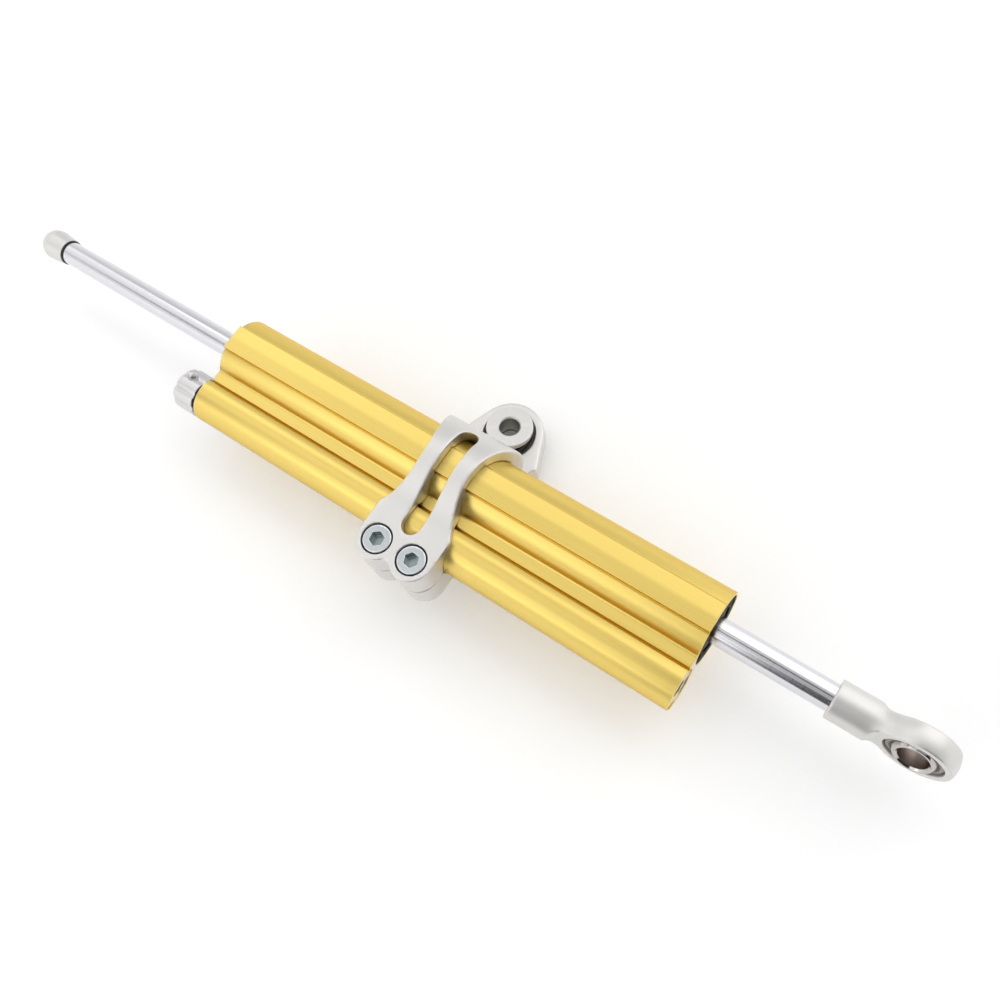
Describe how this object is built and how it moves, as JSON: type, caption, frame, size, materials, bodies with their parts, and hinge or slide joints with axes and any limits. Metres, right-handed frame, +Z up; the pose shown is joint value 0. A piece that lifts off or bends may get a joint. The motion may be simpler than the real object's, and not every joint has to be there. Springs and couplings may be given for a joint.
{
  "type": "steering damper",
  "caption": "Linear motorcycle steering damper with a gold barrel and reservoir, a through rod, a silver frame clamp with a spherical eye, and a rod end.",
  "frame": {"origin": "centre of the ball in the clamp's frame eye", "axes": "+X along the rod, towards the rod end; +Z up along the frame eye's own bore, out of the side that carries the clamp screws' heads; the reservoir lies to -Y"},
  "size_m": [0.3341, 0.0703, 0.0384],
  "materials": {
    "gold_anodised": "satin anodised gold",
    "black_anodised": "satin anodised black",
    "blasted_aluminium": "bead blasted",
    "bare_aluminium": "satin turned",
    "hard_chrome": "ground and polished",
    "bearing_chrome": "polished",
    "bearing_steel": "ground",
    "zinc_steel": "bright zinc",
    "spring_steel": "phosphated, dark",
    "needle_steel": "ground",
    "bronze": "turned bronze",
    "rubber": "matt black",
    "liner": "self-lubricating composite"
  },
  "bodies": {
    "barrel": {"barrel": "gold_anodised", "left_head": "black_anodised", "right_head": "black_anodised", "guide_bushes": "bronze", "rod_seals": "rubber", "rod_wipers": "rubber", "head_orings": "rubber", "valve_housing": "black_anodised", "valve_oring": "rubber", "valve_seat": "bronze", "reservoir_plug": "bare_aluminium", "plug_oring": "rubber", "needle_oring": "rubber"},
    "clamp": {"clamp": "blasted_aluminium", "clamp_screws": "zinc_steel", "eye_race": "bearing_steel", "eye_snap_rings": "spring_steel"},
    "eye_liner": {"eye_liner": "liner"},
    "eye_ball": {"eye_ball": "bearing_chrome", "upper_collar": "blasted_aluminium", "lower_collar": "blasted_aluminium"},
    "piston_band": {"piston_band": "liner"},
    "rod": {"rod": "hard_chrome", "piston": "bare_aluminium", "piston_clips": "spring_steel", "tip": "blasted_aluminium", "bump_ring": "rubber", "rod_end": "blasted_aluminium", "rod_end_race": "bearing_steel"},
    "rod_end_liner": {"rod_end_liner": "liner"},
    "rod_end_ball": {"rod_end_ball": "bearing_chrome"},
    "knob": {"adjuster_knob": "bare_aluminium", "grub_screw": "spring_steel"},
    "needle": {"needle": "needle_steel"},
    "compensator": {"floating_piston": "bare_aluminium", "floating_oring": "rubber"}
  },
  "joints": [
    {"name": "clamp_slide", "type": "slide", "parent": "barrel", "child": "clamp", "axis": [1, 0, 0], "range_m": [-0.065, 0.065]},
    {"name": "eye_spin", "type": "hinge", "parent": "clamp", "child": "eye_liner", "pos_m": [0, 0, 0], "axis": [0, 0, 1], "continuous": true},
    {"name": "eye_tilt", "type": "hinge", "parent": "eye_liner", "child": "eye_ball", "pos_m": [0, 0, 0], "axis": [1, 0, 0], "range_deg": [-0.5, 19.5]},
    {"name": "rod_slide", "type": "slide", "parent": "barrel", "child": "piston_band", "axis": [1, 0, 0], "range_m": [-0.0315, 0.0795]},
    {"name": "rod_spin", "type": "hinge", "parent": "piston_band", "child": "rod", "pos_m": [0, -0.0235, 0.0147], "axis": [1, 0, 0], "continuous": true},
    {"name": "rod_end_spin", "type": "hinge", "parent": "rod", "child": "rod_end_liner", "pos_m": [0.1431, -0.0235, 0.0147], "axis": [0, -0.9945, 0.1045], "continuous": true},
    {"name": "rod_end_tilt", "type": "hinge", "parent": "rod_end_liner", "child": "rod_end_ball", "pos_m": [0.1431, -0.0235, 0.0147], "axis": [1, 0, 0], "range_deg": [-2, 24]},
    {"name": "adjuster_turn", "type": "hinge", "parent": "barrel", "child": "knob", "pos_m": [-0.0917, -0.0425, 0.0147], "axis": [1, 0, 0], "range_deg": [-150, 150]},
    {"name": "needle_travel", "type": "slide", "parent": "barrel", "child": "needle", "axis": [1, 0, 0], "range_m": [-0.000416, 0.000416]},
    {"name": "compensator_travel", "type": "slide", "parent": "barrel", "child": "compensator", "axis": [1, 0, 0], "range_m": [-0.002, 0.008], "stiffness_N_per_m": 200}
  ],
  "couplings": [
    {"joint": "adjuster_turn", "follows": "needle_travel", "rad_per_m": 6283.2}
  ]
}
